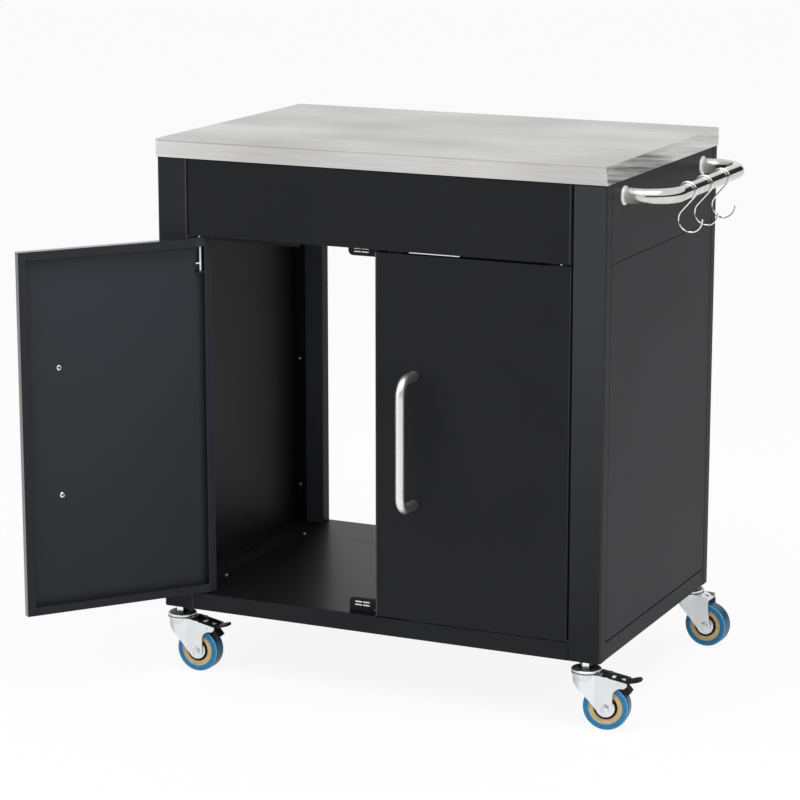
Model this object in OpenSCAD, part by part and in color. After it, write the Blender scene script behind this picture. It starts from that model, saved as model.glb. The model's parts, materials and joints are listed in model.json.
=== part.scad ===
// Kitchen cart: a folded sheet cabinet with two pin-hung doors, a stainless worktop,
// a towel rail with hooks, and four stem casters, two of them with a brake.
// X runs to the right, Y to the back, Z up; the origin is on the floor under the middle.

/* [Cabinet] */
// Width across the corner posts
body_w = 798; // [700:1:1000]
// Depth across the corner posts
body_d = 528; // [460:1:640]
// Height of the posts
body_h = 774; // [700:1:820]
// Thickness of the painted sheet
sheet = 1.2; // [0.8:0.1:1.5]
// Width of a post, seen from the front
post_w = 55; // [50:1:70]
// Depth of a post, seen from the side
post_d = 26; // [26:1:36]
// Bend radius at the outer corner of a post
post_corner_r = 6; // [4:0.5:9]
// Height of the aprons under the worktop
apron_h = 128; // [110:1:160]
// Depth of the flanges of the side panels
panel_flange = 20; // [16:1:26]
// Height of the shelf above the feet of the posts
shelf_h = 30; // [26:1:45]

/* [Worktop] */
// Height of the worktop's folded edge
top_h = 30; // [24:1:45]
// How far the worktop stands out past the posts
top_overhang = 1; // [0:0.5:20]
// Thickness of the stainless sheet
top_sheet = 1.2; // [0.8:0.1:1.5]

/* [Doors] */
// Depth of a folded door
door_t = 15; // [14:0.5:18]
// Width of the lip folded round the inner side of a door
door_lip = 14; // [10:1:20]
// Gap between a door and its post, and between the doors
door_gap = 3; // [2.5:0.5:5]
// Gap above a door
door_top_gap = 4; // [3:0.5:6]
// Distance from the post to the pivot axis
pivot_in = 21; // [21:0.5:24]
// Radius of the lower pivot pins
pivot_r = 3; // [2.5:0.25:3.5]
// Radius of the spring pins
pin_r = 2.5; // [2:0.25:3]
// How far the left door stands open
left_open = 128; // [90:1:132]

/* [Handles] */
// Radius of the handle bar
handle_r = 8; // [6:0.5:9]
// Distance between the two feet of a handle
handle_span = 215; // [160:1:260]
// Distance from the door to the middle of the bar
handle_reach = 55; // [45:1:70]
// Distance from the free edge of the door to the handle
handle_in = 70; // [50:1:100]

/* [Towel rail] */
// Radius of the rail tube
rail_r = 12.5; // [10:0.5:14]
// Distance between the two legs of the rail
rail_span = 372; // [300:1:400]
// Distance from the side panel to the middle of the rail
rail_reach = 75; // [75:1:95]
// Distance from the worktop's underside down to the middle of the rail
rail_drop = 25; // [22:1:60]
// Radius of the wire of a hook
wire_r = 1.5; // [1.2:0.1:2]
// Inner radius of a hook's lower loop
hook_loop_r = 18.5; // [14:0.5:20]

/* [Casters] */
// Height from the floor to the feet of the posts
caster_h = 110; // [110:1:120]
// Radius of a wheel
wheel_r = 38; // [36:0.5:38]
// Width of a wheel's tread
tread_w = 28; // [24:1:30]
// Distance from the swivel axis back to the axle
trail = 35; // [33:0.5:36]
// Radius of the stem thread
stem_r = 6; // [5:0.5:6]
// Radius of the axle bolt
axle_r = 4; // [3:0.5:4.5]

/* [Hidden] */
$fn = 48;

// Colours of the finishes
black_paint = [0.16, 0.17, 0.18];
stainless = [0.78, 0.78, 0.77];
zinc = [0.85, 0.87, 0.89];
blue_tread = [0.16, 0.5, 0.74];
tan_core = [0.8, 0.66, 0.42];

// Clearances
touch = 0.3;      // between pieces that lie against each other
fit = 0.05;       // round a pin or a shaft that turns
hole_fit = 0.2;   // round a screw

// Levels
top_z = caster_h + body_h;
shelf_z = caster_h + shelf_h;
apron_z = top_z - apron_h;
door_z = shelf_z + 2;
door_h = apron_z - door_top_gap - door_z;

// Plan places
post_x = body_w/2 - post_w;          // inner side of the posts
post_y = body_d/2 - post_d;          // face of the posts towards the side panels
panel_x = body_w/2 - 0.8;            // outer face of the side panels
door_w = post_x - 1.5*door_gap;
bend_r = 2;

// Pivots, catches
pivot_x = post_x - pivot_in;
pivot_y = -body_d/2 + door_t/2;
pivot_edge = pivot_in - door_gap;    // from the axis to the door's hinge edge
plate_t = 3;                         // pivot plates inside a door
catch_gap = 0.5;                     // from the pole plates to a closed door
catch_proud = 1;                     // how far the pole plates stand out of the bracket
catch_y = -body_d/2 + door_t + catch_gap + catch_proud;
catch_t = 1.5;
catch_w = 108;
catch_h = 24;
catch_r = 8;
catch_foot = 15;
catch_screw_x = 8;
catch_screw_z = 5.5;                 // clear of the bracket's foot
pole_x = 30;                         // middle of a magnet, from the middle of the cart
pole_z = 9.5;                        // middle of a magnet, from the bracket's free edge
pole_w = 26;
pole_t = 1.8;
pole_pitch = 5.2;
magnet_d = 12;
apron_d = catch_y + body_d/2;        // the bracket lies on the back of the front apron
apron_lip = 12;

// Screws
screw_r = 2;
screw_head_r = 3.6;
screw_head_h = 2.2;
side_screw_x = 9;
side_screw_in = 69;                  // from the ends of a side panel
side_screw_z = [shelf_z + side_screw_in, (shelf_z + apron_z)/2, apron_z - side_screw_in,
    top_z - apron_h/2];
apron_screw_z = [apron_z + 30, top_z - 30];
shelf_screw_y = 150;

// Spring pins
pin_travel = 7.5;
pin_top = apron_z + sheet + 2;
cross_z = door_z + door_h - 43;
cross_r = 1.5;
cross_l = 17;
tab_z = cross_z - cross_r - 11.5;
tab_t = 2.5;
tab_w = 16;
spring_turns = 4.5;
spring_wire = 0.35;

// Handles and rail
handle_bend = 26;
handle_z = door_z + door_h/2;
handle_screw_r = 2.5;
rail_bend = 50;
rail_wall = 1.2;
rail_z = top_z - rail_drop;
plug_l = 12;
rail_bolt_r = 4;
rosette_r = rail_r + 3;
rosette_t = 3;

// Hooks
hook_y = [-100, -22, 64];
hook_top_r = rail_r + touch + wire_r;
hook_low_r = hook_loop_r + wire_r;
hook_low_x = 5;
hook_low_z = -46;
bead = 0.5;                          // how far a bead at a wire's end stands proud

// Casters: swivel angle at rest, front left, front right, rear left, rear right
swivel = [0, 8, -12, -3];
stem_x = body_w/2 - post_w/2;
stem_y = body_d/2 - post_d/2;
leg_t = 2.2;
leg_in = tread_w/2 + 3;
leg_out = leg_in + leg_t;
cup_z = 90.5;                        // underside of the fork's top plate
cup_t = 2.5;
cup_r = 24.5;
cup_rim = 2.1;
cup_h = 8;
race_r = cup_r - cup_rim - 0.4;
race_z = cup_z + cup_t + touch;
race_h = 6.5;
king_r = 5;
nut_z = race_z + race_h;
core_r = wheel_r - 10;
seal_r = 19.5;
hub_r = 16;
lobe_r = 12.5;
nose_x = -5;
nose_in = 2.2;
crease_x = 18;
brake_x = 56;
brake_z = 79;
brake_pin_r = 2.5;
brake_w = 2*leg_in - 1.2;

// Plain helpers
module flip_x(on) { if (on) mirror([1, 0, 0]) children(); else children(); }
module flip_y(on) { if (on) mirror([0, 1, 0]) children(); else children(); }

// One corner of the cabinet: X and Y run inwards from the outer corner of the post
module at_corner(sx, sy)
    translate([sx*body_w/2, sy*body_d/2, 0])
        flip_x(sx > 0) flip_y(sy > 0) children();

module each_corner()
    for (sx = [-1, 1], sy = [-1, 1]) at_corner(sx, sy) children();

// What a rounded corner takes away from a square one
module corner_waste(r)
    difference() {
        translate([-1, -1]) square([r + 1, r + 1]);
        translate([r, r]) circle(r);
    }

// A rectangle with its first corner at the origin, that corner with radius ra, the others rb
module bent_outline(w, d, ra, rb)
    difference() {
        square([w, d]);
        corner_waste(ra);
        translate([w, 0]) mirror([1, 0]) corner_waste(rb);
        translate([0, d]) mirror([0, 1]) corner_waste(rb);
        translate([w, d]) mirror([1, 0]) mirror([0, 1]) corner_waste(rb);
    }

// A folded pan: face at y = 0, flanges d deep on all four sides, and a lip round the mouth
module pan(w, h, d, t, lip)
    difference() {
        linear_extrude(h) difference() {
            square([w, d]);
            corner_waste(bend_r);
            translate([w, 0]) mirror([1, 0]) corner_waste(bend_r);
        }
        if (lip > 0) {
            translate([t, t, t]) cube([w - 2*t, d - 2*t, h - 2*t]);
            translate([lip, d - 2*t, lip]) cube([w - 2*lip, 3*t, h - 2*lip]);
        } else
            translate([t, t, t]) cube([w - 2*t, d, h - 2*t]);
    }

// A U of round bar: two legs from x = 0, reach long, joined by a bar along Y
module u_bar(span, reach, bend, r, start = 0) {
    for (s = [-1, 1]) {
        translate([start, s*span/2, 0]) rotate([0, 90, 0]) cylinder(r = r, h = reach - bend - start);
        flip_y(s < 0) translate([reach - bend, span/2 - bend, 0])
            rotate_extrude(angle = 90) translate([bend, 0]) circle(r);
    }
    translate([reach, -span/2 + bend, 0]) rotate([-90, 0, 0]) cylinder(r = r, h = span - 2*bend);
}

// A pan-head screw, its head on z = 0 and its shank downwards
module screw(r, head_r, head_h, l)
    union() {
        translate([0, 0, -l]) cylinder(r = r, h = l + 0.1);
        cylinder(r = head_r, h = head_h*0.6);
        translate([0, 0, head_h*0.6]) cylinder(r1 = head_r, r2 = head_r*0.72, h = head_h*0.4);
    }

module hexagon_bar(across, h) cylinder(r = across/2/cos(30), h = h, $fn = 6);

// Places of the screws of one corner, in the corner's own axes
module side_screw_places()
    for (z = side_screw_z) translate([side_screw_x, post_d + sheet, z]) rotate([-90, 0, 0]) children();
module apron_screw_places()
    for (z = apron_screw_z) translate([post_w + sheet, apron_d/2, z]) rotate([0, 90, 0]) children();
module hole(r) cylinder(r = r + hole_fit, h = 12, center = true);

// Corner posts: closed sections folded from sheet
module post(sx, sy) color(black_paint)
    at_corner(sx, sy) difference() {
        translate([0, 0, caster_h]) linear_extrude(body_h) difference() {
            bent_outline(post_w, post_d, post_corner_r, bend_r);
            translate([sheet, sheet])
                bent_outline(post_w - 2*sheet, post_d - 2*sheet, post_corner_r - sheet, bend_r - sheet/2);
        }
        side_screw_places() hole(screw_r);
        apron_screw_places() hole(screw_r);
    }

// Plates welded into the feet of the posts, each with the thread for a caster
module caster_foot_plates() color(zinc)
    each_corner() difference() {
        union() {
            translate([sheet + 0.1, sheet + 0.1, caster_h])
                linear_extrude(4) bent_outline(post_w - 2*sheet - 0.2, post_d - 2*sheet - 0.2,
                    post_corner_r - sheet, bend_r - sheet/2);
            translate([post_w/2, post_d/2, caster_h + 4]) hexagon_bar(19, 10);
        }
        translate([post_w/2, post_d/2, caster_h + 7]) cylinder(r = stem_r + fit, h = 20, center = true);
    }

// Aprons between the posts under the worktop
module apron_pan(sy)
    difference() {
        translate([-post_x, -body_d/2, apron_z])
            pan(2*post_x, apron_h, apron_d, sheet, apron_lip);
        for (sx = [-1, 1]) at_corner(sx, -1) apron_screw_places() hole(screw_r);
        if (sy < 0) {
            for (s = [-1, 1]) translate([s*pivot_x, pivot_y, apron_z])
                cylinder(r = pin_r + fit, h = 10, center = true);
            upper_catch_screw_places() hole(screw_r);
        }
    }
// Stop strips behind the upper edges of the doors, spot-welded to the front apron
strip_x0 = 143;
strip_x1 = 303;                      // clear of the corner of a door that turns
strip_drop = 8.5;
module front_apron() color(black_paint) {
    apron_pan(-1);
    for (m = [0, 1]) mirror([m, 0, 0]) translate([strip_x0, catch_y + touch, apron_z - strip_drop])
        cube([strip_x1 - strip_x0, sheet, strip_drop + apron_lip - 3]);
}
module rear_apron() color(black_paint) mirror([0, 1, 0]) apron_pan(1);

// Side panels, upper and lower, and the base rails under them
module side_pan(z0, h)
    difference() {
        translate([-panel_x, post_y, z0]) rotate([0, 0, -90]) pan(2*post_y, h, panel_flange, sheet, 0);
        for (sy = [-1, 1]) at_corner(-1, sy) side_screw_places() hole(screw_r);
    }
module left_upper_panel() color(black_paint) side_pan(apron_z, apron_h);
module right_upper_panel() color(black_paint)
    difference() {
        mirror([1, 0, 0]) side_pan(apron_z, apron_h);
        for (s = [-1, 1]) translate([panel_x, s*rail_span/2, rail_z]) rotate([0, 90, 0]) hole(rail_bolt_r);
    }
module lower_side_pan() side_pan(shelf_z + 1, apron_z - shelf_z - 2);
module left_side_panel() color(black_paint) lower_side_pan();
module right_side_panel() color(black_paint) mirror([1, 0, 0]) lower_side_pan();

rail_top_w = post_w + 7;             // the base rail's top flange reaches under the shelf
module base_rail()
    difference() {
        translate([-panel_x, post_y, caster_h]) rotate([90, 0, 0]) linear_extrude(2*post_y)
            union() {
                square([sheet, shelf_h - sheet]);
                translate([0, shelf_h - 2*sheet]) square([rail_top_w, sheet]);
                square([15, sheet]);
            }
        shelf_screw_places() hole(screw_r);
    }
module left_base_rail() color(black_paint) base_rail();
module right_base_rail() color(black_paint) mirror([1, 0, 0]) base_rail();

// Bottom shelf: one sheet with folded front and rear edges
module shelf_screw_places()
    for (sx = [-1, 1], sy = [-1, 1])
        translate([sx*(post_x - 4), sy*shelf_screw_y, shelf_z]) children();
module bottom_shelf() color(black_paint)
    union() {
        shelf_sheet();
        for (sx = [-1, 1], sy = [-1, 1]) flip_x(sx < 0) flip_y(sy < 0)
            translate([post_x - touch - sheet, body_d/2 - 15, caster_h + 0.1])
                cube([sheet, 15 - bend_r, shelf_h - sheet]);
    }
module shelf_sheet()
    difference() {
        translate([-post_x + touch, 0, 0]) rotate([90, 0, 90]) linear_extrude(2*post_x - 2*touch)
            difference() {
                translate([-body_d/2, caster_h]) difference() {
                    square([body_d, shelf_h]);
                    translate([0, shelf_h]) mirror([0, 1]) corner_waste(bend_r);
                    translate([body_d, shelf_h]) mirror([1, 0]) mirror([0, 1]) corner_waste(bend_r);
                }
                translate([-body_d/2 + sheet, caster_h + sheet])
                    square([body_d - 2*sheet, shelf_h - 2*sheet]);
                translate([-body_d/2 + 15, caster_h - 1]) square([body_d - 30, 10]);
            }
        shelf_screw_places() hole(screw_r);
        lower_catch_screw_places() hole(screw_r);
        for (s = [-1, 1]) translate([s*pivot_x, pivot_y, shelf_z]) hole(pivot_r);
    }

// Worktop: one folded stainless pan, with two stiffening channels inside
top_w = body_w + 2*top_overhang;
top_d = body_d + 2*top_overhang;
module worktop() color(stainless)
    difference() {
        translate([-top_w/2, -top_d/2, top_z]) linear_extrude(top_h)
            bent_outline(top_w, top_d, bend_r, bend_r);
        translate([-top_w/2 + top_sheet, -top_d/2 + top_sheet, top_z + top_sheet])
            cube([top_w - 2*top_sheet, top_d - 2*top_sheet, top_h - 2*top_sheet]);
        translate([-top_w/2 + 20, -top_d/2 + 20, top_z - 1]) cube([top_w - 40, top_d - 40, 5]);
    }
channel_h = top_h - 8;
module worktop_channels() color(zinc)
    for (s = [-1, 1]) translate([-body_w/2 + 45, s*body_d/5, top_z + top_h - top_sheet - channel_h])
        rotate([90, 0, 90]) linear_extrude(body_w - 90) difference() {
            union() {
                translate([-20, 0]) square([40, channel_h]);
                translate([-35, channel_h - sheet]) square([70, sheet]);
            }
            translate([-20 + sheet, sheet]) square([40 - 2*sheet, channel_h]);
        }

// Catches: one bracket under the apron and the same one on the shelf
module catch_bracket()
    difference() {
        union() {
            rotate([90, 0, 0]) translate([0, 0, -catch_t]) linear_extrude(catch_t) difference() {
                translate([-catch_w/2, 0]) square([catch_w, catch_h]);
                for (m = [0, 1]) mirror([m, 0]) translate([-catch_w/2, catch_h]) mirror([0, 1])
                    corner_waste(catch_r);
            }
            translate([-catch_w/2, 0, 0]) cube([catch_w, catch_foot, catch_t]);
        }
        for (s = [-1, 1]) translate([s*pole_x, 0, catch_h - pole_z]) pole_windows(0.3);
        for (s = [-1, 1]) translate([s*catch_screw_x, 0, catch_screw_z]) rotate([90, 0, 0]) hole(screw_r);
        for (s = [-1, 1]) translate([s*46, 9, 0]) hole(screw_r);
    }
// Four tongues of the two pole plates of one magnet, or the windows for them
module pole_windows(gap)
    for (sx = [-1, 1], sz = [-1, 1])
        translate([sx*(pole_w/4 + 0.5), 0, sz*pole_pitch/2])
            cube([pole_w/2 - 1 + 2*gap, 8, pole_t + 2*gap], center = true);
module lower_catch_place() translate([0, catch_y, shelf_z]) children();
module upper_catch_place()
    translate([0, catch_y, apron_z - 15 + catch_h]) mirror([0, 0, 1]) children();
module lower_catch_screw_places()
    lower_catch_place() for (s = [-1, 1]) translate([s*46, 9, catch_t]) children();
module upper_catch_screw_places()
    upper_catch_place() for (s = [-1, 1])
        translate([s*catch_screw_x, catch_t, catch_screw_z]) rotate([-90, 0, 0]) children();
module catch_brackets() color(black_paint) {
    lower_catch_place() catch_bracket();
    upper_catch_place() catch_bracket();
}
module each_magnet() {
    lower_catch_place() for (s = [-1, 1]) translate([s*pole_x, 0, catch_h - pole_z]) children();
    upper_catch_place() for (s = [-1, 1]) translate([s*pole_x, 0, catch_h - pole_z]) children();
}
module pole_pair(gap)
    for (s = [-1, 1]) translate([0, catch_t + magnet_d/2, s*pole_pitch/2])
        cube([pole_w + 2*gap, magnet_d - 3 + 2*gap, pole_t + 2*gap], center = true);
module magnet_housings() color([0.09, 0.09, 0.1])
    each_magnet() difference() {
        translate([-pole_w/2 - 3, catch_t, -7]) cube([pole_w + 6, magnet_d, 14]);
        pole_pair(0.1);
        translate([0, catch_t, 0]) pole_windows(0.1);
    }
module magnet_pole_plates() color(zinc)
    each_magnet() union() {
        pole_pair(0);
        for (sx = [-1, 1], sz = [-1, 1])
            translate([sx*(pole_w/4 + 0.5) - pole_w/4 + 0.5, -catch_proud, sz*pole_pitch/2 - pole_t/2])
                cube([pole_w/2 - 1, catch_proud + catch_t + 3, pole_t]);
    }

// All the screws that hold the sheet work together
module assembly_screws() color(zinc) {
    each_corner() {
        side_screw_places() screw(screw_r, screw_head_r, screw_head_h, 2*sheet + 2);
        apron_screw_places() screw(screw_r, screw_head_r, screw_head_h, 2*sheet + 2);
    }
    shelf_screw_places() screw(screw_r, screw_head_r, screw_head_h, 2*sheet + 2);
    lower_catch_screw_places() screw(screw_r, screw_head_r, screw_head_h, catch_t + sheet + 2);
    upper_catch_screw_places() screw(screw_r, screw_head_r, screw_head_h, catch_t + sheet + 2);
}

// Lower pivots: a pin riveted to the shelf, with the washer that the door stands on
module lower_pivot_pins() color(black_paint)
    for (s = [-1, 1]) translate([s*pivot_x, pivot_y, shelf_z]) {
        translate([0, 0, -sheet]) cylinder(r = pivot_r, h = sheet + 12);
        translate([0, 0, -sheet - 1.8]) cylinder(r1 = pivot_r, r2 = pivot_r + 2, h = 1.8);
        difference() {
            cylinder(r = pivot_r + 4, h = 2 - touch);
            translate([0, 0, -1]) cylinder(r = pivot_r + 0.1, h = 4);
        }
    }

// A door, hung on its pivot axis at x = 0, y = 0, with its face at -door_t/2
module door() color(black_paint)
    difference() {
        union() {
            translate([-pivot_edge, -door_t/2, door_z]) pan(door_w, door_h, door_t, sheet, door_lip);
            for (z = [door_z + sheet, door_z + door_h - sheet - plate_t])
                translate([-pivot_edge + sheet, -door_t/2 + sheet, z])
                    cube([pivot_edge + 10, door_t - 2*sheet, plate_t]);
            translate([-pivot_edge, -door_t/2 + 2, door_z + door_h - 0.1])
                cube([pivot_edge + 20, door_t - 2.4, 1.6]);
            translate([-tab_w/2, -door_t/2 + sheet, tab_z - tab_t]) cube([tab_w, door_t - 3*sheet, tab_t]);
        }
        translate([0, 0, door_z]) cylinder(r = pivot_r + fit, h = 2*(sheet + plate_t) + 2, center = true);
        translate([0, 0, tab_z - tab_t - 2]) cylinder(r = pin_r + fit, h = door_z + door_h - tab_z + 10);
        for (s = [-1, 1]) handle_foot(s) hole(handle_screw_r);
    }
handle_x = door_w - pivot_edge - handle_in;
module handle_foot(s)
    translate([handle_x, -door_t/2 + sheet, handle_z + s*handle_span/2]) rotate([-90, 0, 0]) children();
module handle() color(stainless)
    difference() {
        translate([handle_x, -door_t/2, handle_z]) rotate([0, 0, -90]) rotate([90, 0, 0])
            u_bar(handle_span, handle_reach, handle_bend, handle_r);
        for (s = [-1, 1]) handle_foot(s) translate([0, 0, -sheet - 14])
            cylinder(r = handle_screw_r + 0.1, h = 20);
    }
module handle_screws() color(zinc)
    for (s = [-1, 1]) handle_foot(s) screw(handle_screw_r, 4.6, 3, sheet + 12);

// Spring pin: slides down out of the apron to free the door
module spring_pin() color(zinc)
    union() {
        translate([0, 0, tab_z - tab_t - 2]) cylinder(r = pin_r, h = pin_top - tab_z + tab_t + 1);
        translate([0, 0, pin_top - 1]) cylinder(r1 = pin_r, r2 = pin_r - 1, h = 1);
        translate([-cross_l/2, 0, cross_z]) rotate([0, 90, 0]) cylinder(r = cross_r, h = cross_l);
    }
// The spring between the guide tab and the cross bar, as one unbroken tube
coil_r = pin_r + touch + spring_wire;
coil_lo = tab_z + spring_wire + 0.1;
coil_hi = cross_z - cross_r - spring_wire - 0.1;
coil_rings = 8;
coil_steps = spring_turns*coil_rings;
function coil_point(i, side) =
    let (rr = coil_r + spring_wire*cos(60*side), a = i*360/coil_rings, u = i/coil_steps)
    [rr*cos(a), rr*sin(a), coil_lo + u*(coil_hi - coil_lo) + spring_wire*sin(60*side)];
coil_points = [for (i = [0:coil_steps], k = [0:5]) coil_point(i, k)];
coil_middles = [for (i = [0:coil_steps]) (coil_point(i, 0) + coil_point(i, 3))/2];
echo(least_gap_in_spring = min([for (i = [0:coil_steps - 5], j = [i + 5:coil_steps])
    norm(coil_middles[i] - coil_middles[j])]) - 2*spring_wire);
module pin_spring() color(zinc)
    polyhedron(points = coil_points, convexity = 8, faces = concat(
        [[0, 1, 2, 3, 4, 5]],
        [for (i = [0:coil_steps - 1], k = [0:5]) [6*i + k, 6*i + 6 + k, 6*i + 6 + (k + 1)%6]],
        [for (i = [0:coil_steps - 1], k = [0:5]) [6*i + k, 6*i + 6 + (k + 1)%6, 6*i + (k + 1)%6]],
        [[for (k = [5:-1:0]) 6*coil_steps + k]]));

module left_side() translate([-pivot_x, pivot_y, 0]) rotate([0, 0, -left_open]) children();
module right_side() mirror([1, 0, 0]) translate([-pivot_x, pivot_y, 0]) children();

// Towel rail on the right side, its rosettes and the bolts that hold it
module rail_place() translate([panel_x, 0, rail_z]) children();
module towel_rail() color(stainless)
    rail_place() difference() {
        u_bar(rail_span, rail_reach, rail_bend, rail_r);
        u_bar(rail_span, rail_reach, rail_bend, rail_r - rail_wall, plug_l);
        for (s = [-1, 1]) translate([-1, s*rail_span/2, 0]) rotate([0, 90, 0])
            cylinder(r = rail_bolt_r + 0.1, h = plug_l + 3);
    }
module rail_rosettes() color(stainless)
    rail_place() for (s = [-1, 1]) translate([0, s*rail_span/2, 0]) rotate([0, 90, 0])
        rotate_extrude() difference() {
            translate([rail_r + 0.1, 0]) square([rosette_r - rail_r, rosette_t]);
            translate([rosette_r + 0.1, rosette_t]) mirror([1, 0]) mirror([0, 1]) corner_waste(1.5);
        }
module rail_bolts() color(zinc)
    rail_place() for (s = [-1, 1]) translate([-sheet, s*rail_span/2, 0]) rotate([0, -90, 0]) {
        translate([0, 0, -sheet - plug_l + 1]) cylinder(r = rail_bolt_r, h = sheet + plug_l);
        cylinder(r = 9, h = 1.6);
        translate([0, 0, 1.6]) hexagon_bar(13, 5.3);
    }

// S-hook of round wire, drawn along its straight part, which touches both loops from inside
hook_gap = norm([hook_low_x, hook_low_z]);
hook_tilt = atan2(hook_low_z, hook_low_x) + acos((hook_top_r + hook_low_r)/hook_gap);
hook_straight = sqrt(pow(hook_gap, 2) - pow(hook_top_r + hook_low_r, 2));
hook_end_a = 200;
hook_tip_a = 360;
module wire_arc(r, a0, a1)
    rotate([0, 0, a0]) rotate_extrude(angle = a1 - a0) translate([r, 0]) circle(wire_r);
module hook(y) color(stainless)
    translate([panel_x + rail_reach, y, rail_z]) rotate([90, 0, 0]) rotate([0, 0, hook_tilt]) union() {
        wire_arc(hook_top_r, 0, hook_end_a - hook_tilt);
        rotate([0, 0, hook_end_a - hook_tilt]) translate([hook_top_r + bead, 0, 0]) sphere(wire_r + bead);
        translate([hook_top_r, 0, 0]) rotate([90, 0, 0]) cylinder(r = wire_r, h = hook_straight);
        translate([hook_top_r + hook_low_r, -hook_straight, 0]) {
            wire_arc(hook_low_r, 180, hook_tip_a - hook_tilt);
            rotate([0, 0, hook_tip_a - hook_tilt]) translate([hook_low_r, 0, 0]) sphere(wire_r + bead);
        }
    }

// Casters: swivel axis at the origin, the wheel trails towards +X
module at_caster(i)
    translate([(i%2 == 0 ? -1 : 1)*stem_x, (i < 2 ? -1 : 1)*stem_y, 0]) rotate([0, 0, swivel[i]]) children();

// Stem, lock nut, upper race and king pin of each caster
module caster_stems() color(zinc)
    for (i = [0:3]) at_caster(i) {
        union() {
            translate([0, 0, nut_z - 0.1]) cylinder(r = stem_r, h = caster_h - nut_z + 16);
            translate([0, 0, race_z]) cylinder(r = race_r, h = race_h - 1.5);
            translate([0, 0, nut_z - 1.5]) cylinder(r1 = race_r, r2 = race_r - 1.5, h = 1.5);
            translate([0, 0, cup_z - touch - 2]) cylinder(r = king_r, h = race_z - cup_z + touch + 3);
            translate([0, 0, cup_z - touch - 3]) cylinder(r1 = 6.5, r2 = 8, h = 3);
        }
        difference() {
            translate([0, 0, nut_z]) hexagon_bar(19, caster_h - nut_z);
            translate([0, 0, nut_z - 1]) cylinder(r = stem_r + 0.1, h = 30);
        }
    }

// Side outline of a fork leg, X back along the trail, Y up
module leg_front()
    polygon([[-cup_r - 4, cup_z + 1], [-cup_r - 4, cup_z - 4], [nose_x - 15, cup_z - 14],
        [nose_x - 7, cup_z - 22.5], [nose_x + 3, cup_z - 31.5], [trail - 26, wheel_r + 10],
        [trail - lobe_r*cos(35), wheel_r - lobe_r*sin(35)], [trail + 5, wheel_r],
        [trail + 5, cup_z], [cup_r, cup_z + 1]]);
module brake_leg_side() {
    arch_x = trail + lobe_r;
    arch_r = 14.5;
    arm_z = 74;
    leg_front();
    translate([trail, wheel_r]) circle(lobe_r);
    polygon([[0, cup_z], [0, arm_z], [trail, wheel_r], [arch_x, wheel_r], [arch_x, arm_z],
        [66, arm_z], [70.5, 78], [70.5, 83.2], [cup_r, cup_z + 2]]);
    difference() {
        translate([arch_x - 1, arm_z - arch_r]) square([arch_r + 1, arch_r + 1]);
        translate([arch_x + arch_r, arm_z - arch_r]) circle(arch_r);
    }
}
module plain_leg_side() {
    leg_front();
    translate([trail, wheel_r]) circle(lobe_r);
    polygon([[0, cup_z], [trail, wheel_r], [trail + lobe_r - 1, wheel_r], [trail + 8, 62], [trail + 6, 86],
        [cup_r, cup_z + 1]]);
}
// Walls of the fork in plan: flat sides, drawn in from a crease to a round nose
module fork_walls(r, l)
    union() {
        translate([nose_x, 0]) circle(r - nose_in);
        polygon([[nose_x, nose_in - r], [crease_x, -r], [l, -r], [l, r], [crease_x, r], [nose_x, r - nose_in]]);
    }
module fork_blank(l)
    union() {
        linear_extrude(cup_z + 2) difference() {
            fork_walls(leg_out, l);
            fork_walls(leg_in, l + 5);
        }
        rotate_extrude() polygon([[leg_in, 80], [leg_out, 80], [cup_r, cup_z], [leg_in, cup_z]]);
    }
module side_cut(w) rotate([90, 0, 0]) linear_extrude(w, center = true) children();
module fork_cup()
    rotate_extrude() union() {
        translate([king_r + fit, cup_z]) square([cup_r - king_r - fit, cup_t]);
        translate([cup_r - cup_rim, cup_z]) square([cup_rim - 0.9, cup_h]);
        polygon([[cup_r - cup_rim, cup_z + 3.8], [cup_r - 0.3, cup_z + 3.8], [cup_r + 0.3, cup_z + 4.6],
            [cup_r + 0.3, cup_z + cup_h - 0.8], [cup_r - 0.5, cup_z + cup_h], [cup_r - cup_rim, cup_z + cup_h]]);
    }
module axle_hole() translate([trail, 0, wheel_r]) rotate([90, 0, 0])
    cylinder(r = axle_r + 0.1, h = 80, center = true);
// Leaf spring under the brake lever, fixed to the fork's top plate
leaf_w = 17;
leaf_t = 1;
module leaf_side()
    polygon([[18, cup_z + 0.1], [21, cup_z + 0.1], [26, 88], [57, 81.2], [57, 81.2 - leaf_t],
        [25.5, 88 - leaf_t], [18, cup_z - leaf_t]]);
module brake_fork() color(zinc)
    difference() {
        union() {
            intersection() {
                fork_blank(78);
                side_cut(60) brake_leg_side();
            }
            fork_cup();
            translate([brake_x, 0, brake_z]) rotate([90, 0, 0])
                cylinder(r = brake_pin_r, h = 2*leg_out + 2, center = true);
            side_cut(leaf_w) leaf_side();
        }
        axle_hole();
    }
module plain_fork() color(zinc)
    difference() {
        union() {
            intersection() {
                fork_blank(trail + 12);
                side_cut(60) plain_leg_side();
            }
            fork_cup();
            side_cut(2*leg_out) polygon([[cup_r - 6, cup_z], [cup_r, cup_z + 1], [trail + 6, 86],
                [trail + 6, 86 - leg_t], [cup_r - 6, cup_z - leg_t]]);
        }
        axle_hole();
        translate([trail - 3, 0, 85]) cylinder(r = 4, h = 12, center = true);
    }

// Axle bolt and nut
module axle() color(zinc)
    translate([trail, 0, wheel_r]) rotate([90, 0, 0]) {
        translate([0, 0, -leg_out - 7]) cylinder(r = axle_r, h = 2*leg_out + 8);
        translate([0, 0, leg_out]) hexagon_bar(13, 4.5);
        difference() {
            translate([0, 0, -leg_out - 6]) hexagon_bar(13, 6);
            translate([0, 0, -leg_out - 8]) cylinder(r = axle_r + 0.1, h = 10);
        }
    }

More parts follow.
